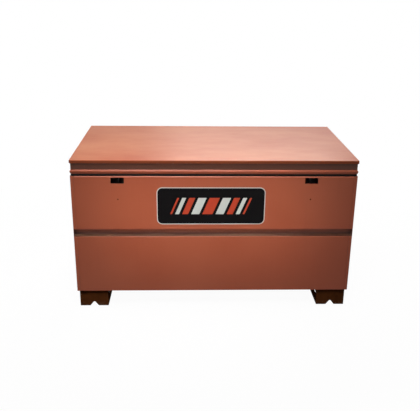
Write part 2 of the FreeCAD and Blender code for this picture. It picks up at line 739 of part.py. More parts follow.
def lid_end_rim(name, side):
    body = new_body(f"lid_{name}_rim")
    front = f"({LIP_FRONT} + Dims.bead_setback)"
    profile = new_sketch(body, "Profile", "XZ_Plane", f"-({front} + {BACK_INSIDE}) / 2")
    edge = f"{side} * {LID_EDGE}"
    bent_sheet(profile, lid_rim_path(edge, -side), -side)
    pad(body, profile, f"{BACK_INSIDE} - {front}", symmetric=True)
    mitre(body, "Mitre", side, cut_behind=False)
    round_rim(body, "Y", edge, -side)


def round_rim(body, axis, edge, inward):
    """Round the outer edges of the bead."""
    path = lid_rim_path(edge, inward)
    fillet(body, "Dims.bead_radius", axis, path[3:5])


def lid_stiffener(name, side):
    """Hat channel under the top sheet, from the front rim to the rear wall, which carries a hasp."""
    body = new_body(f"lid_{name}_stiffener")
    front = f"({LIP_FRONT} + Dims.recess_setback + Dims.weld_flange + Dims.sheet)"
    profile = new_sketch(body, "Profile", "XZ_Plane", f"-({front} + {BACK_INSIDE}) / 2")
    middle, half = f"{side} * {LOCK_X}", "Dims.stiffener_width / 2"
    left, right = f"{middle} - {half}", f"{middle} + {half}"
    floor, brim = f"{LID_UNDERSIDE} - Dims.stiffener_depth", "Dims.stiffener_brim"
    path = [
        (f"{left} - {brim}", LID_UNDERSIDE),
        (left, LID_UNDERSIDE),
        (left, floor),
        (right, floor),
        (right, LID_UNDERSIDE),
        (f"{right} + {brim}", LID_UNDERSIDE),
    ]
    bent_sheet(profile, path, -1)
    pad(body, profile, f"{BACK_INSIDE} - {front}", symmetric=True)


# Hinge

HINGE_LENGTH = f"(2 * ({END_FACE} - Dims.corner_flange - Dims.hinge_margin))"
KNUCKLE = f"({HINGE_LENGTH} / Dims.knuckles)"


def hinge_leaf(label, up, first_cut):
    """One leaf of the piano hinge: a plate and a barrel with every second knuckle cut away.

    The first cut is given as the place of its middle, in knuckles from the left end.
    """
    body = new_body(label)
    plate = new_sketch(body, "Plate", "YZ_Plane")
    edge = f"{HINGE_Z} + {up} * Dims.leaf_height"
    rectangle(plate, BACK_FACE, f"{BACK_FACE} + Dims.leaf", HINGE_Z, edge)
    pad(body, plate, HINGE_LENGTH, symmetric=True)
    barrel = new_sketch(body, "Barrel", "YZ_Plane")
    circle(barrel, HINGE_Y, HINGE_Z, BARREL)
    pad(body, barrel, HINGE_LENGTH, symmetric=True)
    bore = new_sketch(body, "Bore", "YZ_Plane")
    circle(bore, HINGE_Y, HINGE_Z, "Dims.pin_radius + Dims.pin_clearance")
    pocket(body, bore, "2 * Dims.width")

    gap = new_sketch(body, "KnuckleGap", "XZ_Plane")
    middle = f"-{HINGE_LENGTH} / 2 + {first_cut} * {KNUCKLE}"
    half, room = f"({KNUCKLE} + Dims.knuckle_gap) / 2", f"({BARREL} + Dims.knuckle_gap)"
    rectangle(gap, f"{middle} - {half}", f"{middle} + {half}", f"{HINGE_Z} - {room}", f"{HINGE_Z} + {room}")
    cut = pocket(body, gap, "2 * Dims.depth")
    pattern = body.newObject("PartDesign::LinearPattern", "Gaps")
    pattern.Originals = [cut]
    pattern.Direction = (gap, ["H_Axis"])
    pattern.setExpression("Occurrences", "Dims.knuckles / 2")
    pattern.setExpression("Length", f"{KNUCKLE} * (Dims.knuckles - 2)")
    body.Tip = pattern
    document.recompute()


def hinge_pin():
    end = f"{HINGE_LENGTH} / 2"
    chamfer = "Dims.pin_radius / 3"
    steps = [
        (f"-({end} + {chamfer})", f"-({end})", f"Dims.pin_radius - {chamfer}"),
        (f"-({end})", end, "Dims.pin_radius"),
        (end, f"{end} + {chamfer}", f"Dims.pin_radius - {chamfer}"),
    ]
    keep(turned("hinge_pin", steps, ("0", HINGE_Y, HINGE_Z), Rotation()), "hinge_pin")


# Lid stays
# The pivot on the lid and the stud on the body are equally far from the hinge axis, so the arm always
# turns half as far as the lid, and its slot stays in line with the stud.


def stay_chord(opening):
    """Distance from pivot to stud with the lid open by an angle."""
    closed = "asin(Dims.stay_rise / Dims.stay_reach) + asin(Dims.stay_drop / Dims.stay_reach)"
    return f"(2 * Dims.stay_reach * sin(({closed} + {opening}) / 2))"


def stay_arm(name, side):
    body = new_body(f"{name}_stay")
    shut, opened = stay_chord("0 deg"), stay_chord("Dims.lid_opening * 1 deg")
    arm = new_sketch(body, "Arm", "XY_Plane")
    stadium(arm, "0", f"{opened} + Dims.slot_spare", "0", "Dims.stay_width / 2")
    pad(body, arm, "Dims.stay_thickness", symmetric=True)
    slot = new_sketch(body, "Slot", "XY_Plane")
    radius = "Dims.stud_radius + Dims.slot_clearance"
    stadium(slot, f"{shut} - Dims.slot_spare", f"{opened} + Dims.slot_spare", "0", radius)
    circle(slot, "0", "0", "Dims.stud_radius + Dims.pin_clearance")
    pocket(body, slot, "4 * Dims.stay_thickness")
    along = Vector(0, number(f"{STUD_Y} - {PIVOT_Y}"), number(f"{STUD_Z} - {PIVOT_Z}")).normalize()
    across = Vector(1, 0, 0)
    body.Placement = Placement(Vector(), Rotation(along, across.cross(along), across, "XZY"))
    set_place(body, (f"{side} * {STAY_X}", PIVOT_Y, PIVOT_Z))
    document.recompute()


def stay_bracket(name, side):
    """Angle under the lid sheet that carries the stay's pivot on its inner side."""
    body = new_body(f"{name}_stay_bracket")
    profile = new_sketch(body, "Profile", "XZ_Plane", f"-{PIVOT_Y}")
    web = f"{side} * {STAY_INNER}"
    foot = f"{side} * ({STAY_INNER} - Dims.bracket_foot)"
    path = [(web, f"{PIVOT_Z} - Dims.bracket_tip"), (web, LID_UNDERSIDE), (foot, LID_UNDERSIDE)]
    bent_sheet(profile, path, side, "Dims.bracket_plate")
    pad(body, profile, "Dims.bracket_width", symmetric=True)
    hole = new_sketch(body, "PivotHole", "YZ_Plane", f"{side} * ({STAY_INNER} - Dims.bracket_plate / 2)")
    circle(hole, PIVOT_Y, PIVOT_Z, "Dims.stud_radius + Dims.pin_clearance")
    pocket(body, hole, "2 * Dims.bracket_plate")


def stay_pivot(name, side):
    """Rivet through the bracket and the stay, with a head on each side."""
    label = f"{name}_stay_pivot"
    inner = "(-Dims.stay_thickness / 2 - Dims.side_clearance - Dims.bracket_plate)"
    outer = "(Dims.stay_thickness / 2 + Dims.side_clearance)"
    steps = [
        (f"{inner} - Dims.stud_head", inner, "Dims.stud_head_radius"),
        (inner, outer, "Dims.stud_radius"),
        (outer, f"{outer} + Dims.stud_head", "Dims.stud_head_radius"),
    ]
    keep(turned(label, steps, (f"{side} * {STAY_X}", PIVOT_Y, PIVOT_Z), facing(side)), label)


def stay_stud(name, side):
    """Shouldered stud on the end panel's inside, with a head that keeps the stay on it."""
    label = f"{name}_stay_stud"
    inner = "(-Dims.stay_thickness / 2 - Dims.side_clearance)"
    wall = f"({END_INSIDE} - {STAY_X})"
    steps = [
        (f"{inner} - Dims.stud_head", inner, "Dims.stud_head_radius"),
        (inner, f"{wall} - Dims.stud_head", "Dims.stud_radius"),
        (f"{wall} - Dims.stud_head", wall, "Dims.stud_head_radius"),
    ]
    keep(turned(label, steps, (f"{side} * {STAY_X}", STUD_Y, STUD_Z), facing(side)), label)


# Handles


def handle_rivet_places():
    for along in (-1, 1):
        for up in (-1, 1):
            y = f"{along} * (Dims.handle_length / 2 - Dims.rivet_inset)"
            z = f"Dims.handle_level + {up} * (Dims.handle_rise - Dims.rivet_inset)"
            yield y, z


def handle_plate(name, side):
    """Plate on the end panel with two round ears that hold the ends of the bail."""
    body = new_body(f"{name}_handle_plate")
    outline = new_sketch(body, "Plate", "YZ_Plane", f"{side} * {END_FACE}")
    half, rise = "Dims.handle_length / 2", "Dims.handle_rise"
    low, high = f"Dims.handle_level - {rise}", f"Dims.handle_level + {rise}"
    rectangle(outline, f"-{half}", half, low, high)
    pad(body, outline, "Dims.handle_plate", reverse=side < 0)
    corners = [(y, z) for y in (f"-{half}", half) for z in (low, high)]
    fillet(body, "Dims.plate_radius", "X", corners)
    pivot = f"{side} * {HANDLE_X}"
    for end_name, end in (("Front", -1), ("Back", 1)):
        web = new_sketch(body, end_name + "Web", "XZ_Plane", f"-({end} * Dims.ear_span / 2)")
        radius, level = "Dims.ear_radius", "Dims.handle_level"
        rectangle(web, f"{side} * {PLATE_FACE}", pivot, f"{level} - {radius}", f"{level} + {radius}")
        pad(body, web, "Dims.ear_thickness", symmetric=True)
        eye = new_sketch(body, end_name + "Eye", "XZ_Plane", f"-({end} * Dims.ear_span / 2)")
        circle(eye, pivot, level, radius)
        pad(body, eye, "Dims.ear_thickness", symmetric=True)
    bore = new_sketch(body, "Bore", "XZ_Plane")
    circle(bore, pivot, "Dims.handle_level", "Dims.rod_radius + Dims.pin_clearance")
    pocket(body, bore, "2 * Dims.handle_length")
    holes = new_sketch(body, "RivetHoles", "YZ_Plane", f"{side} * {END_FACE}")
    for y, z in handle_rivet_places():
        circle(holes, y, z, RIVET_HOLE)
    pocket(body, holes, "4 * Dims.handle_plate")


def handle_rivets(name, side):
    rivets = []
    outer, inner = "Dims.handle_plate", "-Dims.sheet"
    steps = [
        (f"{inner} - Dims.rivet_head", inner, "Dims.rivet_head_radius"),
        (inner, outer, "Dims.rivet_radius"),
        (outer, f"{outer} + Dims.rivet_head", "Dims.rivet_head_radius"),
    ]
    for count, (y, z) in enumerate(handle_rivet_places(), start=1):
        place = (f"{side} * {END_FACE}", y, z)
        rivets.append(turned(f"{name}_handle_rivet_{count}", steps, place, facing(side)))
    group(f"{name}_handle_rivets", rivets)


def bail_path(sketch):
    """Centre line of the bail: stub, leg, grip bar, leg and stub, joined by equal bends."""
    pivot, low = "Dims.handle_level", "(Dims.handle_level - Dims.bail_drop)"
    y, tip, z, bar, bend = (number(value) for value in (BAIL_LEG, BAIL_END, pivot, low, "Dims.bail_bend"))
    runs = [
        ((-tip, z), (-y - bend, z)),
        ((-y, z - bend), (-y, bar + bend)),
        ((-y + bend, bar), (y - bend, bar)),
        ((y, bar + bend), (y, z - bend)),
        ((y + bend, z), (tip, z)),
    ]
    lines = [sketch.addGeometry(Part.LineSegment(Vector(*start), Vector(*end))) for start, end in runs]
    # Each bend: its middle, the angle where its arc starts, and whether the path runs along the arc.
    bends = [
        ((-y - bend, z - bend), 0, False),
        ((-y + bend, bar + bend), 2 * QUARTER_TURN, True),
        ((y - bend, bar + bend), 3 * QUARTER_TURN, True),
        ((y + bend, z - bend), QUARTER_TURN, False),
    ]
    for step, (middle, turn, forwards) in enumerate(bends):
        circle_at = Part.Circle(Vector(*middle), Vector(0, 0, 1), bend)
        arc = sketch.addGeometry(Part.ArcOfCircle(circle_at, turn, turn + QUARTER_TURN))
        tie(sketch, "Tangent", lines[step], END, arc, START if forwards else END)
        tie(sketch, "Tangent", arc, END if forwards else START, lines[step + 1], START)
        bind(sketch, "Radius", "Dims.bail_bend", arc)
    for step, kind in enumerate(("Horizontal", "Vertical", "Horizontal", "Vertical", "Horizontal")):
        tie(sketch, kind, lines[step])
    bind_point(sketch, lines[0], START, f"-{BAIL_END}", pivot)
    bind(sketch, "DistanceX", f"-{BAIL_LEG}", ORIGIN, START, lines[1], START)
    bind(sketch, "DistanceY", low, ORIGIN, START, lines[2], START)
    bind(sketch, "DistanceX", BAIL_LEG, ORIGIN, START, lines[3], START)
    bind_point(sketch, lines[4], END, BAIL_END, pivot)


def handle_bail(name, side):
    """Bent rod that hangs from the plate's ears."""
    body = new_body(f"{name}_handle_bail")
    spine = new_sketch(body, "Spine", "YZ_Plane", f"{side} * {HANDLE_X}")
    bail_path(spine)
    section = new_sketch(body, "Section", "XZ_Plane", BAIL_END)
    circle(section, f"{side} * {HANDLE_X}", "Dims.handle_level", "Dims.rod_radius")
    document.recompute()
    pipe = body.newObject("PartDesign::AdditivePipe", "Rod")
    pipe.Profile = section
    pipe.Spine = (spine, [f"Edge{index}" for index in range(1, 10)])
    document.recompute()


def handle_grip(name, side):
    """Sleeve moulded round the middle of the bail's bar."""
    body = new_body(f"{name}_handle_grip")
    ring = new_sketch(body, "Ring", "XZ_Plane")
    x, z = f"{side} * {HANDLE_X}", "Dims.handle_level - Dims.bail_drop"
    circle(ring, x, z, "Dims.grip_radius")
    circle(ring, x, z, "Dims.rod_radius + Dims.grip_clearance")
    pad(body, ring, f"2 * ({BAIL_LEG} - Dims.bail_bend)", symmetric=True)


# Assembly

front_panel()
wall_panel("back_panel", BACK_FACE, -1, BACK_UPSTAND)
floor_pan()
rim_seal()
lock_pocket_rivets()
lid_top()
lid_front_rim()
hinge_leaf("hinge_body_leaf", -1, 1.5)
hinge_leaf("hinge_lid_leaf", 1, 0.5)
hinge_pin()
for side_name, side in SIDES:
    end_panel(side_name, side)
    end_rim(side_name, side)
    skid(side_name, side)
    skid_plate(side_name, side, "front", SKID_FRONT, 1)
    skid_plate(side_name, side, "back", SKID_BACK, -1)
    lock_pocket(side_name, side)
    hasp(side_name, side)
    lid_end_rim(side_name, side)
    lid_stiffener(side_name, side)
    stay_arm(side_name, side)
    stay_bracket(side_name, side)
    stay_pivot(side_name, side)
    stay_stud(side_name, side)
    handle_plate(side_name, side)
    handle_rivets(side_name, side)
    handle_bail(side_name, side)
    handle_grip(side_name, side)

# Every object has to be sound before anything is written.

document.recompute()
for item in document.Objects:
    if "Invalid" in item.State or "Error" in item.State:
        raise RuntimeError(f"{item.Label} failed: {item.State}")
for piece in sub_parts:
    if piece.Shape.isNull() or not piece.Shape.isValid() or not piece.Shape.Solids:
        raise RuntimeError(f"{piece.Label} has no valid solid")

os.makedirs("parts", exist_ok=True)
for piece in sub_parts:
    piece.Shape.exportStep(f"parts/{piece.Label}.step")
    box = piece.Shape.BoundBox
    size = " x ".join(f"{length:.1f}" for length in (box.XLength, box.YLength, box.ZLength))
    print(f"{piece.Label}: {len(piece.Shape.Solids)} solid, {size} mm, {piece.Shape.Volume / 1000:.1f} cm3")
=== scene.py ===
# %% [markdown]
# A jobsite storage box, finished in Blender
#
# The chest is folded from sheet steel, stands on two hollow skids and has a hinged lid. Its measured
# model comes in as a fixed frame: every node already has its true place.
# This lesson gives every node a finish, adds the small things that the frame leaves out (domed rivets,
# ribbed grips, a bulb seal, welds and a label), and then sets the light and the camera.

# %% Load the measured frame
from math import cos, pi, radians, sin

import bmesh
import bpy
from mathutils import Matrix, Vector


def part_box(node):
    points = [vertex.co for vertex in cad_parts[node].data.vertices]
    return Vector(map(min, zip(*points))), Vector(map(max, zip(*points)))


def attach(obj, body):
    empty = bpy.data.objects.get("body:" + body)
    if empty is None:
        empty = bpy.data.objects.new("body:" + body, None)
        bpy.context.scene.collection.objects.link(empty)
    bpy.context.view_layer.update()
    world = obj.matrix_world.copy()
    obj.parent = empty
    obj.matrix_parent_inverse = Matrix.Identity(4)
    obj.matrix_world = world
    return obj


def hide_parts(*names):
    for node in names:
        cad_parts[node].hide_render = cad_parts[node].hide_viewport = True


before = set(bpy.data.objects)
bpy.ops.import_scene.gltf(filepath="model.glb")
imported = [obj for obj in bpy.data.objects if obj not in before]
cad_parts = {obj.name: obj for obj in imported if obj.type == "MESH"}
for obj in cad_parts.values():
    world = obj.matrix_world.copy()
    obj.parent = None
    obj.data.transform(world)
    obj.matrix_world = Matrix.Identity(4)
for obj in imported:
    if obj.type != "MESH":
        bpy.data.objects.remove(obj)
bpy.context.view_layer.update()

scene = bpy.context.scene
MM = 0.001
SIDES = (("left", -1), ("right", 1))

# %% [markdown]
# Sums on sockets
#
# A finish such as powder coat is mostly arithmetic: a little noise here, a mask there. Each Math node
# could be added and wired by hand, but that hides the arithmetic. So a small class stands for a socket,
# and each operator on it adds one Math node. The reflected forms are there too, because 1 - mask is the
# commonest sum of all.

# %% A socket that does sums
class Reading:
    """One output socket of a node tree, for use in expressions."""

    def __init__(self, nodes, socket):
        self.nodes = nodes
        self.socket = socket

    def combined(self, operation, first, second):
        return self.nodes.add("ShaderNodeMath", {"operation": operation}, {0: first, 1: second})

    def __add__(self, other):
        return self.combined("ADD", self, other)

    def __radd__(self, other):
        return self.combined("ADD", other, self)

    def __sub__(self, other):
        return self.combined("SUBTRACT", self, other)

    def __rsub__(self, other):
        return self.combined("SUBTRACT", other, self)

    def __mul__(self, other):
        return self.combined("MULTIPLY", self, other)

    def __rmul__(self, other):
        return self.combined("MULTIPLY", other, self)

    def at_least(self, other):
        return self.combined("MAXIMUM", self, other)


print("readings add, subtract, multiply and take the larger of two")

# %% [markdown]
# A node tree and a finish
#
# Each material is a node tree with one Principled shader. A node could be added with a handful of lines
# each time, but one method that takes its type, its settings and its sockets keeps it to one line. What
# is the same all over a surface is set on the shader's own sockets, and only what changes from place to
# place is linked.

# %% A node tree
class Nodes:
    """A node tree that any node can be added to."""

    def __init__(self, tree):
        self.tree = tree

    def add(self, kind, settings, sockets, output=0):
        node = self.tree.nodes.new(kind)
        for setting, value in settings.items():
            setattr(node, setting, value)
        for socket, value in sockets.items():
            if isinstance(value, Reading):
                self.tree.links.new(value.socket, node.inputs[socket])
            else:
                node.inputs[socket].default_value = value
        return Reading(self, node.outputs[output])

    def show(self, shader, output):
        """Link a shader to the tree's output node."""
        self.tree.links.new(shader.socket, self.tree.nodes[output].inputs["Surface"])


print("any node can be added with one call")


# %% A finish with short ways to add its nodes
class Finish(Nodes):
    """A procedural material on Object coordinates."""

    def __init__(self, name, constants):
        self.material = bpy.data.materials.new(name)
        self.material.use_nodes = True
        super().__init__(self.material.node_tree)
        self.shader = self.tree.nodes["Principled BSDF"]
        for socket, value in constants.items():
            self.shader.inputs[socket].default_value = value

    def feed(self, socket, reading):
        self.tree.links.new(reading.socket, self.shader.inputs[socket])

    def place(self):
        return self.add("ShaderNodeTexCoord", {}, {}, "Object")

    def stretched(self, place, scale):
        return self.add("ShaderNodeMapping", {}, {"Vector": place, "Scale": scale})

    def z_part(self, vector):
        return self.add("ShaderNodeSeparateXYZ", {}, {0: vector}, "Z")

    def noise(self, place, scale, detail=3.0, roughness=0.55):
        sockets = {"Vector": place, "Scale": scale, "Detail": detail, "Roughness": roughness}
        return self.add("ShaderNodeTexNoise", {}, sockets, "Fac")

    def step(self, reading, low, high):
        """A smooth step from 0 to 1 as the reading goes from low to high."""
        sockets = {"Value": reading, "From Min": low, "From Max": high}
        return self.add("ShaderNodeMapRange", {"interpolation_type": "SMOOTHSTEP"}, sockets)

    def blend(self, factor, first, second):
        """A colour between two. Of a Mix node's sockets, inputs 6 and 7 and output 2 are for colours."""
        sockets = {0: factor, 6: first, 7: second}
        return self.add("ShaderNodeMix", {"data_type": "RGBA"}, sockets, 2)

    def bump(self, height, distance, strength, normal=None):
        sockets = {"Height": height, "Distance": distance, "Strength": strength}
        if normal:
            sockets["Normal"] = normal
        return self.add("ShaderNodeBump", {}, sockets)


print("a finish adds noise, steps, blends and bumps")

# %% [markdown]
# Colours
#
# Colours are chosen in the two-digit form that pictures use, and a shader works with amounts of
# light. They could be worked out beforehand and written as long decimals, but then nobody could read
# them, so one short function turns the familiar form into the shader's linear numbers.

# %% Colours written the familiar way
def colour(code):
    """Linear colour from a code such as A85437."""
    channels = []
    for start in (0, 2, 4):
        level = int(code[start:start + 2], 16) / 255
        linear = level / 12.92 if level <= 0.04045 else ((level + 0.055) / 1.055) ** 2.4
        channels.append(linear)
    return (*channels, 1.0)


# Each brown is the main coat, then the coat where it is thin.
BODY_BROWN = ("A85437", "9A462B")
LID_BROWN = ("AA5534", "9C4526")
INNER_BROWN = ("9A4E35", "8A4029")
print("the body's brown is", [round(level, 3) for level in colour(BODY_BROWN[0])[:3]])

# %% [markdown]
# Powder coat on sheet steel
#
# The chest is sprayed with powder and baked. Close up the coat has a fine dimpled skin, and from a step
# away the sheet under it is never quite flat. The colour drifts a little where the coat is thick or
# thin, dust settles on what faces up and on the lid also paints a sheen, folds are darkened partly by
# grime and partly as painted shade, and the sharp edges wear through. All this could be painted by hand
# on an image, but an image needs unwrapped meshes, and the frame's meshes stay as they are. So each
# effect is a mask, worked out from the shape and the place of a point.

# %% Masks that follow the shape
def edge_mask(finish, radius):
    """1 on sharp edges: where a rounded normal leaves the true one."""
    rounded = finish.add("ShaderNodeBevel", {"samples": 6}, {"Radius": radius})
    true = finish.add("ShaderNodeNewGeometry", {}, {}, "Normal")
    sockets = {0: rounded, 1: true}
    alike = finish.add("ShaderNodeVectorMath", {"operation": "DOT_PRODUCT"}, sockets, "Value")
    return finish.step(alike, 0.97, 0.80)


def fold_mask(finish, reach):
    """1 deep in folds, corners and joints."""
    open_sky = finish.add("ShaderNodeAmbientOcclusion", {"samples": 8}, {"Distance": reach}, "AO")
    return finish.step(open_sky, 0.85, 0.35)


def facing_up(finish):
    """1 on faces that look up."""
    normal = finish.add("ShaderNodeTexCoord", {}, {}, "Normal")
    return finish.step(finish.z_part(normal), 0.85, 0.98)


print("masks for edges, folds and faces that look up")

# %% [markdown]
# Bands, some of them painted shade; dust, partly a painted sheen; and wear
#
# Some stretches of the coat are darker: the groove across the panels, where the darkening of its floor
# and ledge is painted shade, the recess under the lid's lip, and the hem of the lip itself, whose
# darkening is painted shade too. Each could be a piece of its own with its own material, but on the real
# chest it is one bent sheet with its neighbours, so a step on the height marks it. Dust lies in thin
# drifts, and on the lid it also stands for a painted sheen; wear is ragged, so both masks are broken up
# with noise.

# %% Layers on the coat
# The bands' dark brown. In the groove and on the hem of the lid's lip it is painted shade.
BAND_AND_SHADE_BROWN = "583224"
BAND_EDGE = 0.8 * MM
DUST_AND_SHEEN_DRIFTS = (2.4, 4.8, 4.8)
WEAR_REACH = 1.6 * MM


def banded(finish, place, paint, band):
    """Darken paint from a low to a high level. It fades out below the high one, and has a strength."""
    low, high, fade, strength = band
    level = finish.z_part(place)
    above = finish.step(level, low, low + BAND_EDGE)
    below = finish.step(level, high, high - fade)
    return finish.blend(above * below * strength, paint, colour(BAND_AND_SHADE_BROWN))


# Pale dust on what faces up. On the lid it also paints a sheen.
def thin_dust_and_sheen(finish, place, dust_and_sheen_amount):
    drifts = finish.noise(finish.stretched(place, DUST_AND_SHEEN_DRIFTS), 1.0, detail=6.0, roughness=0.6)
    return facing_up(finish) * finish.step(drifts, 0.15, 0.85) * dust_and_sheen_amount


def worn_edges(finish, place, wear):
    ragged = finish.noise(place, 55.0, detail=4.0, roughness=0.7)
    return edge_mask(finish, WEAR_REACH) * finish.step(ragged, 0.50, 0.62) * wear


print("bands end over", BAND_EDGE, "m and edges wear over", WEAR_REACH, "m")

# %% [markdown]
# The coat itself
#
# The layers go on in this order: paint, bands (two of them painted shade), runs and specks from the
# spraying, then the folds' darkening, which is partly grime and partly painted shade, then dust, which
# on the lid is partly a painted sheen, and wear. Two bumps give the skin, a fine one for the dimples and
# a long shallow one for the sheet. One function mixes the coat for all painted sheet, because its browns
# differ only a little from piece to piece. The gloss is low on the lid, which is seen at a low angle,
# where more would hide its colour under white.

# %% The powder coat
RUN_BROWN = "4A2118"
SPECK_TAN = "C98A70"
# Folds darken towards this brown: partly grime, partly painted shade.
GRIME_AND_SHADE = "3A2C26"
# Pale dust, which on the lid also stands for a painted sheen:
DUST_AND_SHEEN = "EAB68A"
BARE_STEEL = "9C8F88"
RUN_STRETCH = (34.0, 34.0, 2.2)
FOLD_REACH = 30 * MM
DIMPLE = 0.12 * MM
SHEET_WAVE = 4 * MM


def powder_coat(name, browns, gloss=0.35, rough=0.36, dust_and_sheen_amount=0.2, wear=0.7, band=None):
    finish = Finish(name, {"Specular IOR Level": gloss})
    place = finish.place()
    main, thin = browns
    patches = finish.step(finish.noise(place, 2.6, detail=2.0, roughness=0.5), 0.32, 0.70)
    runs = finish.step(finish.noise(finish.stretched(place, RUN_STRETCH), 1.0), 0.55, 0.8)
    specks = finish.step(finish.noise(place, 900.0, detail=2.0), 0.62, 0.72)
    # The fold mask darkens folds and joints, partly as grime and partly as painted shade.
    grime_and_shade = fold_mask(finish, FOLD_REACH)
    # Dust on what faces up, and on the lid a painted sheen as well.
    dust = thin_dust_and_sheen(finish, place, dust_and_sheen_amount)
    worn = worn_edges(finish, place, wear)

    paint = finish.blend(patches * 0.55, colour(main), colour(thin))
    if band:
        paint = banded(finish, place, paint, band)
    paint = finish.blend(runs * 0.04, paint, colour(RUN_BROWN))
    paint = finish.blend(specks * 0.12, paint, colour(SPECK_TAN))
    paint = finish.blend(grime_and_shade * 0.7, paint, colour(GRIME_AND_SHADE))
    paint = finish.blend(dust, paint, colour(DUST_AND_SHEEN))
    finish.feed("Base Color", finish.blend(worn, paint, colour(BARE_STEEL)))
    finish.feed("Metallic", worn * 0.8)
    finish.feed("Roughness", rough + patches * 0.05 + dust * 0.2 + grime_and_shade * 0.2)
    skin = finish.bump(finish.noise(place, 420.0, detail=2.0), DIMPLE, 0.35)
    wave = finish.noise(place, 3.2, detail=1.0, roughness=0.3)
    finish.feed("Normal", finish.bump(wave, SHEET_WAVE, 0.22, skin))
    return finish.material


print("one function mixes every brown coat")

# %% [markdown]
# Five browns
#
# The body, the two grooved panels, the rims of the lid, its top and the pieces inside wear the same
# coat with small differences. One coat could serve them all if its masks told the pieces apart, but
# five short calls say more plainly which piece differs in what. Bands are given by the height of the
# folds that they follow, from the floor or down from the top of the lid.

# %% Mix the brown coats
GROOVE_FOOT = 342 * MM
GROOVE_HEAD = 372 * MM
GROOVE_FADE = 26 * MM
RECESS_FOOT = 41.5 * MM
LIP_TURN = 2 * MM
lid_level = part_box("lid_top")[1].z
# In the groove the band is painted shade: darkest on the ledge, and fading up across the floor.
groove_shade_band = (GROOVE_FOOT, GROOVE_HEAD, GROOVE_FADE, 1.0)
recess_band = (lid_level - RECESS_FOOT, lid_level, BAND_EDGE, 1.0)
# On the hem of the lid's lip the band is painted shade, at a little under half strength.
lip_shade_band = (0, lid_level - LIP_TURN, BAND_EDGE, 0.45)

body_paint = powder_coat("body_powder_coat", BODY_BROWN)
panel_paint = powder_coat("panel_powder_coat", BODY_BROWN, dust_and_sheen_amount=0.1, band=groove_shade_band)
rim_paint = powder_coat("rim_powder_coat", BODY_BROWN, gloss=0.25, band=recess_band)
lid_paint = powder_coat("lid_powder_coat", LID_BROWN, gloss=0.05, rough=0.3, dust_and_sheen_amount=0.28, band=lip_shade_band)
inner_paint = powder_coat("inner_powder_coat", INNER_BROWN, gloss=0.25, dust_and_sheen_amount=0.25, wear=0.9)
print("mixed", body_paint.name, "and four coats like it")

# %% [markdown]
# The skids' coat
#
# The skids are a darker brown with no gloss left; the darker brown is painted shade, for the shadow of
# the box that overhangs them. They live on concrete: their lower edges are scuffed to bare steel and
# grey with dust. Scuffs could be placed one by one, but height above the floor is part of the Object
# coordinates, so one mask fades them all out upwards.

# %% Mix the skids' coat
SCUFF_HEIGHT = 30 * MM
RUB_STRETCH = (60.0, 14.0, 120.0)


def shade_darkened_skid_coat():
    finish = Finish("shade_darkened_skid_coat", {"Specular IOR Level": 0.0})
    place = finish.place()
    low = finish.step(finish.z_part(place), SCUFF_HEIGHT, 0.0)
    mottle = finish.step(finish.noise(place, 14.0, detail=5.0, roughness=0.65), 0.35, 0.7)
    splash = low * finish.step(finish.noise(place, 32.0, detail=5.0, roughness=0.7), 0.42, 0.62)
    rub = finish.noise(finish.stretched(place, RUB_STRETCH), 1.0, detail=4.0, roughness=0.7)
    worn = (edge_mask(finish, 2 * MM) * 0.8 + low * 0.35) * finish.step(rub, 0.55, 0.68)
    # Both browns are darker than the body's: painted shade under the overhanging box.
    paint = finish.blend(mottle, colour("5E3419"), colour("4C2914"))
    paint = finish.blend(splash * 0.3, paint, colour("6E5C4E"))
    finish.feed("Base Color", finish.blend(worn, paint, colour("8A847E")))
    finish.feed("Metallic", worn * 0.8)
    finish.feed("Roughness", 0.48 + splash * 0.25 - worn * 0.1)
    finish.feed("Normal", finish.bump(finish.noise(place, 380.0, detail=2.0), 0.15 * MM, 0.4))
    return finish.material


shade_darkened_skid_paint = shade_darkened_skid_coat()
print("mixed", shade_darkened_skid_paint.name, "with scuffs up to", SCUFF_HEIGHT, "m")

# %% [markdown]
# Zinc plate
#
# The lid stays with their brackets, pivots and studs, the hinge pin and the handle rivets are zinc
# plated: grey metal with faint drawn lines and a cloudy bloom. One metallic grey would look like chrome,
# so noise varies the grey and the roughness, and the fold mask leaves a stain where pieces meet.

# %% Mix the zinc plate
LINE_STRETCH = (900.0, 900.0, 40.0)


def zinc_plate():
    finish = Finish("zinc_plate", {"Metallic": 1.0})
    place = finish.place()
    bloom = finish.step(finish.noise(place, 38.0, detail=4.0, roughness=0.6), 0.35, 0.7)
    lines = finish.noise(finish.stretched(place, LINE_STRETCH), 1.0, detail=2.0)
    stain = fold_mask(finish, 8 * MM)
    metal = finish.blend(bloom, colour("C2C3C0"), colour("A9A79E"))
    finish.feed("Base Color", finish.blend(stain * 0.6, metal, colour("4E4A44")))
    finish.feed("Roughness", 0.26 + bloom * 0.14 + lines * 0.12)
    finish.feed("Normal", finish.bump(lines, 0.05 * MM, 0.3))
    return finish.material


zinc = zinc_plate()
print("mixed", zinc.name)

# %% [markdown]
# Black irons
#
# The handle plates and bails, the lock pockets and the hasps are painted black, and rubbed to bright
# steel where hands and padlocks reach them. On the lock pockets and hasps the black is painted shade,
# for the dark inside the lock slots. The bright places could be picked edge by edge, but the edge mask
# finds every edge, and noise then leaves some of them black.

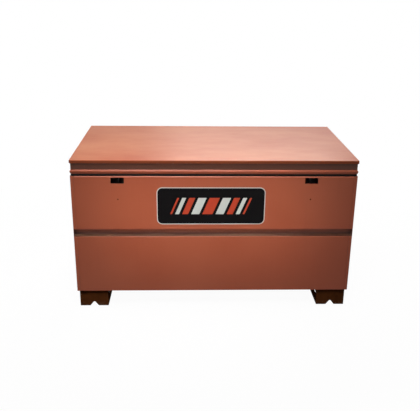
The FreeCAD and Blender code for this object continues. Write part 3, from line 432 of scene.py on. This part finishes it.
# %% Mix the black of the irons
def black_iron_and_slot_shade():
    finish = Finish("black_iron_and_slot_shade", {"Specular IOR Level": 0.2})
    place = finish.place()
    cloud = finish.noise(place, 30.0, detail=4.0)
    rub = finish.step(finish.noise(place, 90.0, detail=4.0, roughness=0.7), 0.52, 0.64)
    worn = edge_mask(finish, 1.2 * MM) * rub
    # On the lock pockets and hasps this black is painted shade, for the dark inside the lock slots.
    paint = finish.blend(cloud, colour("1C1A19"), colour("2B2725"))
    finish.feed("Base Color", finish.blend(worn, paint, colour("8F8A84")))
    finish.feed("Metallic", worn * 0.9)
    finish.feed("Roughness", 0.42 + cloud * 0.14)
    finish.feed("Normal", finish.bump(finish.noise(place, 500.0, detail=2.0), 0.1 * MM, 0.4))
    return finish.material


irons_and_slot_shade = black_iron_and_slot_shade()
print("mixed", irons_and_slot_shade.name)

# %% [markdown]
# Rubber
#
# The seal under the lid and the grips are dark rubber, matt and a little dusty on top. One near-black
# colour would do for a toy, but in soft light it looks like a hole, so a faint cloud and fine pores give
# the rubber a surface. The seal's sponge has coarser pores than the moulded grips.

# %% Mix the rubbers
def dusty_rubber(name, base, grain):
    finish = Finish(name, {"Specular IOR Level": 0.12})
    place = finish.place()
    cloud = finish.noise(place, 24.0, detail=5.0, roughness=0.65)
    pores = finish.noise(place, grain, detail=2.0)
    dust = finish.step(cloud, 0.45, 0.75) * 0.25 * facing_up(finish)
    rubber = finish.blend(cloud * 0.5, colour(base), colour("241C19"))
    finish.feed("Base Color", finish.blend(dust, rubber, colour("8C8078")))
    finish.feed("Roughness", 0.68 + pores * 0.2)
    finish.feed("Normal", finish.bump(pores, 0.2 * MM, 0.5))
    return finish.material


seal_rubber = dusty_rubber("seal_rubber", "0E0A09", grain=700.0)
grip_rubber = dusty_rubber("grip_rubber", "171514", grain=1100.0)
print("mixed", seal_rubber.name, "and", grip_rubber.name)

# %% [markdown]
# Dress the frame
#
# Each node keeps its shape and only gets a finish. A table could name one for each node, but the nodes'
# names already say what they are, so one function picks the finish from the name: the lid's top, its
# rims, the two grooved panels, the skids with the dark rivets of the lock pockets, rubber, irons, the
# pieces inside, the other painted sheet, and zinc for the rest.

# %% A finish for every node
RIM_PIECES = ("lid_front_rim", "lid_left_rim", "lid_right_rim")
GROOVED_PANELS = ("front_panel", "back_panel")
IRON_AND_SLOT_SHADE_PIECES = ("handle_plate", "handle_bail", "lock_pocket", "hasp")
INNER_PIECES = ("floor_pan", "stiffener", "end_rim")
BODY_PIECES = ("panel", "hinge_body_leaf", "hinge_lid_leaf")


def finish_for(node):
    if node == "lid_top":
        return lid_paint
    if node in RIM_PIECES:
        return rim_paint
    if node in GROOVED_PANELS:
        return panel_paint
    # The skids' darker brown is painted shade; the rivets of the lock pockets share it.
    if "skid" in node or node == "lock_pocket_rivets":
        return shade_darkened_skid_paint
    if node == "rim_seal":
        return seal_rubber
    if node.endswith("grip"):
        return grip_rubber
    # The lock pockets and hasps get the black as painted shade for the lock slots.
    if node.endswith(IRON_AND_SLOT_SHADE_PIECES):
        return irons_and_slot_shade
    if node.endswith(INNER_PIECES):
        return inner_paint
    if node.endswith(BODY_PIECES):
        return body_paint
    return zinc


for node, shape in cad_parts.items():
    shape.data.materials.clear()
    shape.data.materials.append(finish_for(node))
print("dressed", len(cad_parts), "nodes")

# %% [markdown]
# Making a piece
#
# A new piece starts as an empty bmesh, which operators fill. The editor's own operators could do the
# same, but they depend on what is selected and which mode is open, and a bmesh depends on neither. When
# the shape is done its normals are turned outwards, curved faces are shaded smooth up to a sharp-edge
# angle, and the piece is tied to the body that carries it. Small turned parts come from an outline that
# is spun round an axis.

# %% From bmesh to a piece that rides
SHARP_ANGLE = radians(32)


def make_piece(name, shape, body, finishes):
    bmesh.ops.recalc_face_normals(shape, faces=shape.faces)
    mesh = bpy.data.meshes.new(name)
    shape.to_mesh(mesh)
    shape.free()
    mesh.shade_smooth()
    mesh.set_sharp_from_angle(angle=SHARP_ANGLE)
    for finish in finishes:
        mesh.materials.append(finish)
    piece = bpy.data.objects.new(name, mesh)
    scene.collection.objects.link(piece)
    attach(piece, body)
    print("made", name, "with", len(mesh.polygons), "faces on", body)
    return piece


print("pieces are shaded smooth up to", round(SHARP_ANGLE, 3), "radians")

# %% Spin an outline
MERGE_REACH = 0.001 * MM


def spin_outline(shape, outline, origin, axis, steps):
    """Turn an outline of (along, out) points round an axis through the origin."""
    along = Vector(axis)
    out = along.orthogonal().normalized()
    corners = [shape.verts.new(Vector(origin) + along * a + out * r) for a, r in outline]
    edges = [shape.edges.new(pair) for pair in zip(corners, corners[1:])]
    bmesh.ops.spin(
        shape, geom=corners + edges, cent=origin, axis=axis, angle=2 * pi, steps=steps, use_merge=True
    )
    bmesh.ops.remove_doubles(shape, verts=shape.verts, dist=MERGE_REACH)


def dome(foot, height, radius, turns):
    """A quarter of an ellipse, from its rim at the foot to its top on the axis."""
    points = [(foot, radius)]
    for turn in range(1, turns):
        angle = turn / turns * pi / 2
        points.append((foot + height * sin(angle), radius * cos(angle)))
    return points + [(foot + height, 0)]


print("outlines can be spun, with points merged within", MERGE_REACH, "m")

# %% [markdown]
# Rivets with domed heads
#
# Four rivets hold each handle plate. They have a domed factory head outside and a flat set head inside,
# and in the frame they are plain turned blanks. A half ball on a cylinder would pass from afar, but one
# outline spun round the axis gives the whole rivet as a closed skin. It has the length and the place of
# its blank, both read from the box of the blanks.

# %% Spin the handle rivets
HEAD_HEIGHT = 2.5 * MM
HEAD_RADIUS = 5.5 * MM
SHANK_RADIUS = 0.55 * HEAD_RADIUS
SET_RADIUS = 0.85 * HEAD_RADIUS
SET_HEIGHT = 0.7 * HEAD_HEIGHT


def rivet_outline(length):
    """Axis to axis: set head, shank, then the domed head."""
    foot = length - HEAD_HEIGHT
    outline = [(0, 0), (0, SET_RADIUS), (SET_HEIGHT, SET_RADIUS), (SET_HEIGHT, SHANK_RADIUS)]
    outline.append((foot, SHANK_RADIUS))
    return outline + dome(foot, HEAD_HEIGHT, HEAD_RADIUS, turns=5)


for side, sign in SIDES:
    low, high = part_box(f"{side}_handle_rivets")
    outline = rivet_outline(high.x - low.x)
    base = low.x if sign > 0 else high.x
    shape = bmesh.new()
    for y in (low.y + HEAD_RADIUS, high.y - HEAD_RADIUS):
        for z in (low.z + HEAD_RADIUS, high.z - HEAD_RADIUS):
            spin_outline(shape, outline, (base, y, z), (sign, 0, 0), steps=24)
    rivets = make_piece(f"{side}_handle_domed_rivets", shape, "chest", [zinc])
    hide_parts(f"{side}_handle_rivets")

# %% [markdown]
# The grips
#
# A moulded rubber sleeve covers the bar of each bail, ribbed for the fingers. The ribs could be rings on
# a plain tube, but real ones are moulded in one with it, so the outline goes down and up along the bar
# before it is spun. Both ends are chamfered, and the bore stays open for the bar.

# %% Spin the ribbed grips
RIBS = 13
RIB_DEPTH = 1.3 * MM
WALL = 5 * MM
CHAMFER_LENGTH = 2 * MM
CHAMFER_DEPTH = 3 * MM
PLAIN_END = 6 * MM
# One rib: the share of its pitch along the bar, and the share of its depth.
RIB_STEPS = ((0, 0), (0.16, 1), (0.42, 1), (0.58, 0))


def grip_outline(length, radius):
    half = length / 2
    bore = radius - WALL
    rim = radius - CHAMFER_DEPTH
    pitch = (length - 2 * PLAIN_END) / RIBS
    outline = [(-half, bore), (-half, rim), (-half + CHAMFER_LENGTH, radius)]
    for rib in range(RIBS):
        start = -half + PLAIN_END + rib * pitch
        outline += [(start + along * pitch, radius - deep * RIB_DEPTH) for along, deep in RIB_STEPS]
    outline += [(half - CHAMFER_LENGTH, radius), (half, rim), (half, bore)]
    return outline + outline[:1]


for side, _ in SIDES:
    low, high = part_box(f"{side}_handle_grip")
    middle = (low + high) / 2
    shape = bmesh.new()
    outline = grip_outline(high.y - low.y, (high.z - low.z) / 2)
    spin_outline(shape, outline, middle, (0, 1, 0), steps=32)
    grip = make_piece(f"{side}_ribbed_grip", shape, f"{side}_handle", [grip_rubber])
    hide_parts(f"{side}_handle_grip")

# %% [markdown]
# The seal
#
# A strip of sponge rubber lies on the body's shelf under the lid, along the front and both ends. A curve
# with a round section could make it, but a flat foot and mitred corners come more simply from one flat
# U-shaped face, which is raised to its height and then rounded along the top, as a bulb seal is.

# %% Raise the rim seal
SEAL_WIDTH = 7 * MM
SEAL_ROUND = 3 * MM
low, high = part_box("rim_seal")
inner_left = low.x + SEAL_WIDTH
inner_right = high.x - SEAL_WIDTH
inner_front = low.y + SEAL_WIDTH
plan = [(low.x, high.y), (low.x, low.y), (high.x, low.y), (high.x, high.y)]
plan += [(inner_right, high.y), (inner_right, inner_front)]
plan += [(inner_left, inner_front), (inner_left, high.y)]

shape = bmesh.new()
foot = shape.faces.new([shape.verts.new((x, y, low.z)) for x, y in plan])
raised = bmesh.ops.extrude_face_region(shape, geom=[foot], use_keep_orig=True)
crown = [item for item in raised["geom"] if isinstance(item, bmesh.types.BMVert)]
bmesh.ops.translate(shape, verts=crown, vec=(0, 0, high.z - low.z))
ridge = [item for item in raised["geom"] if isinstance(item, bmesh.types.BMEdge)]
bmesh.ops.bevel(
    shape, geom=ridge, offset=SEAL_ROUND, affect="EDGES", segments=4, profile=0.5, material=-1
)
seal = make_piece("bulb_seal", shape, "chest", [seal_rubber])
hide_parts("rim_seal")

# %% [markdown]
# Hinge rivets
#
# The piano hinge is riveted to the lid and to the back, with low round heads in a row along each leaf,
# painted over with the rest. They could be a bump in the paint, but a bump has no outline and isn't in
# the mesh, so each head is spun.

# %% Rivet the hinge leaves
LEAF_RIVETS = 12
LEAF_INSET = 10 * MM
LEAF_THICKNESS = 1.5 * MM
LEAF_HEAD_HEIGHT = 1.6 * MM
LEAF_HEAD_RADIUS = 4 * MM
leaf_head = [(0, 0)] + dome(0, LEAF_HEAD_HEIGHT, LEAF_HEAD_RADIUS, turns=4)

for leaf, body in (("hinge_body_leaf", "chest"), ("hinge_lid_leaf", "lid")):
    low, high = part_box(leaf)
    level = low.z + LEAF_INSET if body == "chest" else high.z - LEAF_INSET
    pitch = (high.x - low.x) / LEAF_RIVETS
    shape = bmesh.new()
    for count in range(LEAF_RIVETS):
        origin = (low.x + (count + 0.5) * pitch, low.y + LEAF_THICKNESS, level)
        spin_outline(shape, leaf_head, origin, (0, 1, 0), steps=20)
    make_piece(f"{leaf}_rivets", shape, body, [body_paint])

# %% [markdown]
# Weld beads
#
# The skids are welded to the floor in short runs. A run of weld is a row of overlapping puddles, each
# frozen a moment after the last. A bent tube would look smooth and cast, so the run is a row of
# flattened balls a few millimetres apart, which wanders a little as a hand does.

# %% Lay the skid welds
PUDDLE_PITCH = 3.2 * MM
PUDDLE_SIZE = Matrix.Diagonal((3.4 * MM, 3.0 * MM, 2.8 * MM, 1.0))
RUN_LENGTH = 48 * MM
RUNS = 4
WELD_DROP = 1.2 * MM
WANDER = 0.35 * MM
WANDER_STEP = 2.3


def weld_run(shape, start):
    """Puddles along Y, in the corner between a web and the floor."""
    for count in range(round(RUN_LENGTH / PUDDLE_PITCH)):
        aside = WANDER * sin(count * WANDER_STEP)
        place = Vector(start) + Vector((aside, count * PUDDLE_PITCH, aside / 2))
        puddle = Matrix.Translation(place) @ PUDDLE_SIZE
        bmesh.ops.create_icosphere(shape, subdivisions=2, radius=1.0, matrix=puddle)


for side, _ in SIDES:
    low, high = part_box(f"{side}_skid")
    spare = (high.y - low.y - RUN_LENGTH) / (RUNS + 1)
    shape = bmesh.new()
    for x in (low.x, high.x):
        for run in range(RUNS):
            weld_run(shape, (x, low.y + spare * (run + 1), high.z - WELD_DROP))
    make_piece(f"{side}_skid_welds", shape, "chest", [shade_darkened_skid_paint])

# %% [markdown]
# Printed film
#
# The label is cut from vinyl film in three colours. Film could be a flat colour, but it is never quite
# clean, so a faint cloud and fine dust vary its colour and roughness. Its gloss is low, because the film
# on the real chest is nearly matt.

# %% Mix the films
def film(name, base, roughness):
    finish = Finish(name, {"Specular IOR Level": 0.06})
    place = finish.place()
    cloud = finish.noise(place, 18.0, detail=4.0)
    dust = finish.step(finish.noise(place, 240.0, detail=3.0, roughness=0.7), 0.55, 0.75) * 0.12
    ink = finish.blend(cloud * 0.012, colour(base), colour("6A6460"))
    finish.feed("Base Color", finish.blend(dust * 0.1, ink, colour("A89488")))
    finish.feed("Roughness", roughness + cloud * 0.12 + dust)
    return finish.material


dark_film = film("dark_film", "070607", roughness=0.3)
pale_film = film("pale_film", "C9CCC6", roughness=0.35)
red_film = film("red_film", "B8432C", roughness=0.35)
print("mixed", dark_film.name, pale_film.name, "and", red_film.name)

# %% [markdown]
# The label
#
# A dark label with a pale border lies a little left of the middle of the front. It could be drawn in the
# panel's paint, but film has an edge that catches the light. So one square face gets rounded corners, is
# inset once for the border, and is raised by the thickness of the film.

# %% Faces of film
FILM_THICKNESS = 0.35 * MM


def upright_face(shape, middle, width, height, lean, corner, segments):
    """A rounded rectangle that faces the front, from one grid face with bevelled corners."""
    upright = Matrix.Rotation(pi / 2, 4, "X")
    sized = Matrix.Diagonal((width, 1, height, 1))
    leaning = Matrix.Identity(4)
    leaning[0][2] = lean
    place = Matrix.Translation(middle) @ leaning @ sized @ upright
    grid = bmesh.ops.create_grid(shape, x_segments=1, y_segments=1, size=0.5, matrix=place)
    earlier = set(shape.faces) - set(grid["verts"][0].link_faces)
    bmesh.ops.bevel(
        shape, geom=grid["verts"], offset=corner, affect="VERTICES", segments=segments, profile=0.5,
        material=-1,
    )
    return [face for face in shape.faces if face not in earlier]


def thicken(shape, faces):
    """Raise faces towards the front by the thickness of one film."""
    raised = bmesh.ops.extrude_face_region(shape, geom=faces)
    corners = [item for item in raised["geom"] if isinstance(item, bmesh.types.BMVert)]
    bmesh.ops.translate(shape, verts=corners, vec=(0, -FILM_THICKNESS, 0))


print("films are", FILM_THICKNESS, "m thick")

# %% Cut the label
LABEL_X = -15 * MM
LABEL_Z = 483.5 * MM
LABEL_WIDTH = 465 * MM
LABEL_HEIGHT = 168 * MM
LABEL_CORNER = 24 * MM
BORDER = 3.6 * MM
label_middle = Vector((LABEL_X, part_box("front_panel")[0].y, LABEL_Z))

shape = bmesh.new()
field = upright_face(shape, label_middle, LABEL_WIDTH, LABEL_HEIGHT, 0, LABEL_CORNER, segments=8)
border = bmesh.ops.inset_region(
    shape, faces=field, thickness=BORDER, use_boundary=True, use_even_offset=True
)
for face in border["faces"]:
    face.material_index = 1
thicken(shape, shape.faces[:])
make_piece("front_label", shape, "chest", [dark_film, pale_film])

# %% [markdown]
# Bars on the label
#
# The label carries a row of plain slanted bars, red and pale in turn. They could be faces of the label
# with a colour of their own, but film laid on film has its own thin edge. Each bar is a small leaning
# rectangle, widest in the middle of the row and narrower towards both ends.

# %% Lay the bars on the label
BARS_EACH_WAY = 4
MIDDLE_BAR = 44 * MM
BAR_NARROWING = 9 * MM
BAR_GAP = 13 * MM
BAR_HEIGHT = 74 * MM
BAR_LEAN = 0.42
BAR_CORNER = 2 * MM
bars = range(-BARS_EACH_WAY, BARS_EACH_WAY + 1)


def bar_width(number):
    return MIDDLE_BAR - BAR_NARROWING * abs(number)


row_width = sum(bar_width(number) + BAR_GAP for number in bars) - BAR_GAP
for name, finish, odd in (("label_red_bars", red_film, 0), ("label_pale_bars", pale_film, 1)):
    shape = bmesh.new()
    left = -row_width / 2
    for number in bars:
        width = bar_width(number)
        middle = label_middle + Vector((left + width / 2, -FILM_THICKNESS, 0))
        left += width + BAR_GAP
        if number % 2 == odd:
            bar = upright_face(shape, middle, width, BAR_HEIGHT, BAR_LEAN, BAR_CORNER, segments=3)
            thicken(shape, bar)
    make_piece(name, shape, "chest", [finish])

# %% [markdown]
# The floor
#
# The box stands on a plain white sweep. A white floor could be lit until it burns out, but the same
# light would wash out the box. So the camera sees the floor mostly as even white, with a thin share of
# real diffuse light in it, which keeps a faint shadow. All other rays meet a dull floor that throws
# little light back up.

# %% Lay the floor
FLOOR_HALF = 14
FLOOR_DROP = 0.2 * MM
shape = bmesh.new()
bmesh.ops.create_grid(shape, x_segments=1, y_segments=1, size=FLOOR_HALF)
bmesh.ops.translate(shape, verts=shape.verts, vec=(0, 0, -FLOOR_DROP))
floor_mesh = bpy.data.meshes.new("floor")
shape.to_mesh(floor_mesh)
shape.free()
floor = bpy.data.objects.new("floor", floor_mesh)
scene.collection.objects.link(floor)
print("the floor reaches", FLOOR_HALF, "m each way")

# %% Colour the floor
SHADOW_SHARE = 0.04
SHADOW_NEAR = 0.9
SHADOW_FAR = 1.9
WHITE = (1, 1, 1, 1)
PALE = (0.95, 0.95, 0.95, 1)
DULL = (0.12, 0.12, 0.12, 1)


def seen_directly(nodes):
    """1 for rays from the camera, and for those that gloss or glass passes on."""
    kinds = ("Is Camera Ray", "Is Glossy Ray", "Is Transmission Ray")
    straight, glossy, through = [nodes.add("ShaderNodeLightPath", {}, {}, kind) for kind in kinds]
    return straight.at_least(glossy).at_least(through)


sweep = bpy.data.materials.new("white_sweep")
sweep.use_nodes = True
nodes = Nodes(sweep.node_tree)
place = nodes.add("ShaderNodeTexCoord", {}, {}, "Object")
away = nodes.add("ShaderNodeVectorMath", {"operation": "LENGTH"}, {0: place}, "Value")
reach = {
    "Value": away, "From Min": SHADOW_NEAR, "From Max": SHADOW_FAR,
    "To Min": SHADOW_SHARE, "To Max": 0.0,
}
share = nodes.add("ShaderNodeMapRange", {"interpolation_type": "SMOOTHSTEP"}, reach)
white = nodes.add("ShaderNodeEmission", {}, {"Color": WHITE, "Strength": 1.0})
shaded = nodes.add("ShaderNodeBsdfDiffuse", {}, {"Color": PALE})
dull = nodes.add("ShaderNodeBsdfDiffuse", {}, {"Color": DULL})
pictured = nodes.add("ShaderNodeMixShader", {}, {0: share, 1: white, 2: shaded})
mixed = nodes.add("ShaderNodeMixShader", {}, {0: seen_directly(nodes), 1: dull, 2: pictured})
nodes.show(mixed, "Material Output")
floor_mesh.materials.append(sweep)
print("the floor shows", SHADOW_SHARE, "of its shadow")

# %% [markdown]
# The world
#
# Around a studio table there is a little light from everywhere. A bright white world would give a white
# background at once, but it would also light the box from all sides and flatten it. So the world is
# white where it is seen, straight or in gloss, and dim where it lights.

# %% Dim the world
WORLD_LIGHT = 0.1
world = bpy.data.worlds.new("studio")
world.use_nodes = True
scene.world = world
nodes = Nodes(world.node_tree)
dim = nodes.add("ShaderNodeBackground", {}, {"Color": WHITE, "Strength": WORLD_LIGHT})
white = nodes.add("ShaderNodeBackground", {}, {"Color": WHITE, "Strength": 1.0})
mixed = nodes.add("ShaderNodeMixShader", {}, {0: seen_directly(nodes), 1: dim, 2: white})
nodes.show(mixed, "World Output")
print("the world lights with a strength of", WORLD_LIGHT)

# %% [markdown]
# Lamps
#
# The box is lit as a catalogue picture is. A lamp in front and above gives most of the light, a narrow
# one brightens the middle of the front, a strip overhead lights the lid, and a wide lamp behind puts a
# soft sheen on it. Lamps at the rear and at both sides light what the camera doesn't see. One big sky
# would be simpler, but it would light every fold alike.

# %% Hang the lamps
def soft_lamp(name, place, target, size, power, spread):
    """A flat lamp of a width and a height that looks at its target, with a beam of so many degrees."""
    lamp = bpy.data.lights.new(name, "AREA")
    lamp.shape = "RECTANGLE"
    lamp.size, lamp.size_y = size
    lamp.energy = power
    lamp.spread = radians(spread)
    holder = bpy.data.objects.new(name, lamp)
    holder.location = place
    holder.rotation_euler = (Vector(target) - Vector(place)).to_track_quat("-Z", "Y").to_euler()
    scene.collection.objects.link(holder)
    print("lamp", name, "of", power, "W")


soft_lamp(
    "front_softbox", place=(-0.25, -1.68, 2.9), target=(-0.2, -0.33, 0.62), size=(1.0, 0.8),
    power=6.2, spread=50,
)
soft_lamp(
    "middle_softbox", place=(-0.05, -2.6, 1.9), target=(-0.03, -0.33, 0.43), size=(0.9, 0.25),
    power=0.58, spread=13,
)
soft_lamp(
    "ceiling_softbox", place=(-0.3, -0.4, 2.6), target=(-0.2, -0.4, 0.6), size=(2.4, 0.4),
    power=3.6, spread=150,
)
soft_lamp(
    "back_softbox", place=(0.6, 3.4, 2.55), target=(0.2, 0.0, 0.6), size=(2.0, 0.7),
    power=63, spread=160,
)
soft_lamp(
    "rear_softbox", place=(0.0, 2.6, 0.45), target=(0.0, 0.33, 0.4), size=(1.6, 0.5),
    power=8, spread=120,
)
for side, sign in SIDES:
    soft_lamp(
        f"{side}_softbox", place=(sign * 3.0, 0.1, 1.9), target=(sign * 0.6, 0.1, 0.4),
        size=(1.0, 1.0), power=20, spread=150,
    )

# %% [markdown]
# The camera
#
# The camera stands about two and a half metres in front of the box, a little left of its middle, and
# looks down at it. It could be set by eye, but a wrong lens changes every edge a little, so its place,
# turn and lens were fitted to the corners of the box instead.

# %% Set the camera
SENSOR_WIDTH = 36
LENS = 53.405
CAMERA_PLACE = (-0.1157, -2.8377, 1.3979)
CAMERA_TURN = radians(-2.192)
CAMERA_DIP = radians(19.954)
CAMERA_ROLL = radians(0.754)
camera_data = bpy.data.cameras.new("camera")
camera_data.sensor_width = SENSOR_WIDTH
camera_data.lens = LENS
camera = bpy.data.objects.new("camera", camera_data)
turn = Matrix.Rotation(CAMERA_TURN, 4, "Z")
tip = Matrix.Rotation(pi / 2 - CAMERA_DIP, 4, "X")
roll = Matrix.Rotation(CAMERA_ROLL, 4, "Z")
camera.matrix_world = Matrix.Translation(CAMERA_PLACE) @ turn @ tip @ roll
scene.collection.objects.link(camera)
scene.camera = camera
scene.view_settings.view_transform = "Standard"
print("camera at", [round(value, 3) for value in camera.location])
